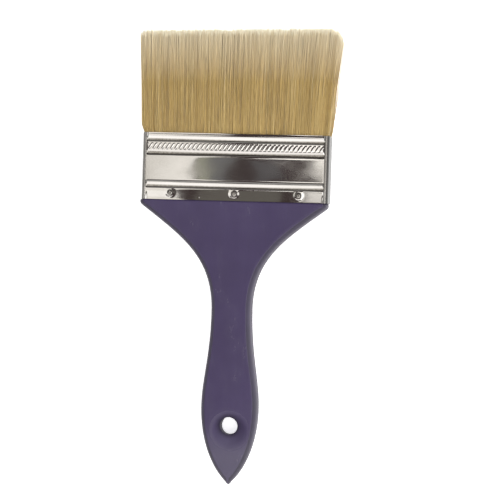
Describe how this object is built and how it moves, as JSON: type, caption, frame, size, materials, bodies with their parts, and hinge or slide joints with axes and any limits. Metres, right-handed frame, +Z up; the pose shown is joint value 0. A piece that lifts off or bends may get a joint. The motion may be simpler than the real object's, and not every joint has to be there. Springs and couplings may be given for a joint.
{
  "type": "paint brush",
  "caption": "Flat paint brush: painted wooden handle with a dished hanging hole, pressed tinplate ferrule held by nails, and straight-trimmed splayed bristles.",
  "frame": {"origin": "under the middle of the brush as it lies flat on its back: the centre of its length and width, at its lowest height", "axes": "+Y along the brush from the handle's tail to the bristle tips, +X to the right as the front face is seen, +Z up out of the front face"},
  "size_m": [0.1042, 0.243, 0.0174],
  "materials": {
    "handle_paint": "satin purple enamel over turned wood",
    "ferrule_tinplate": "bright pressed tinplate",
    "nail_steel": "bright domed nail head",
    "bristle": "tan bristle with pale flagged tips",
    "setting_resin": "cured amber resin",
    "plug_wood": "bare sawn wood"
  },
  "bodies": {
    "root": {"handle": "handle_paint", "ferrule": "ferrule_tinplate", "nail_front_left": "nail_steel", "nail_front_centre": "nail_steel", "nail_front_right": "nail_steel", "nail_back_left": "nail_steel", "nail_back_centre": "nail_steel", "nail_back_right": "nail_steel", "resin_setting": "setting_resin", "plug_front": "plug_wood", "plug_back": "plug_wood", "bristles_front": "bristle", "bristles_middle": "bristle", "bristles_back": "bristle"}
  },
  "joints": []
}
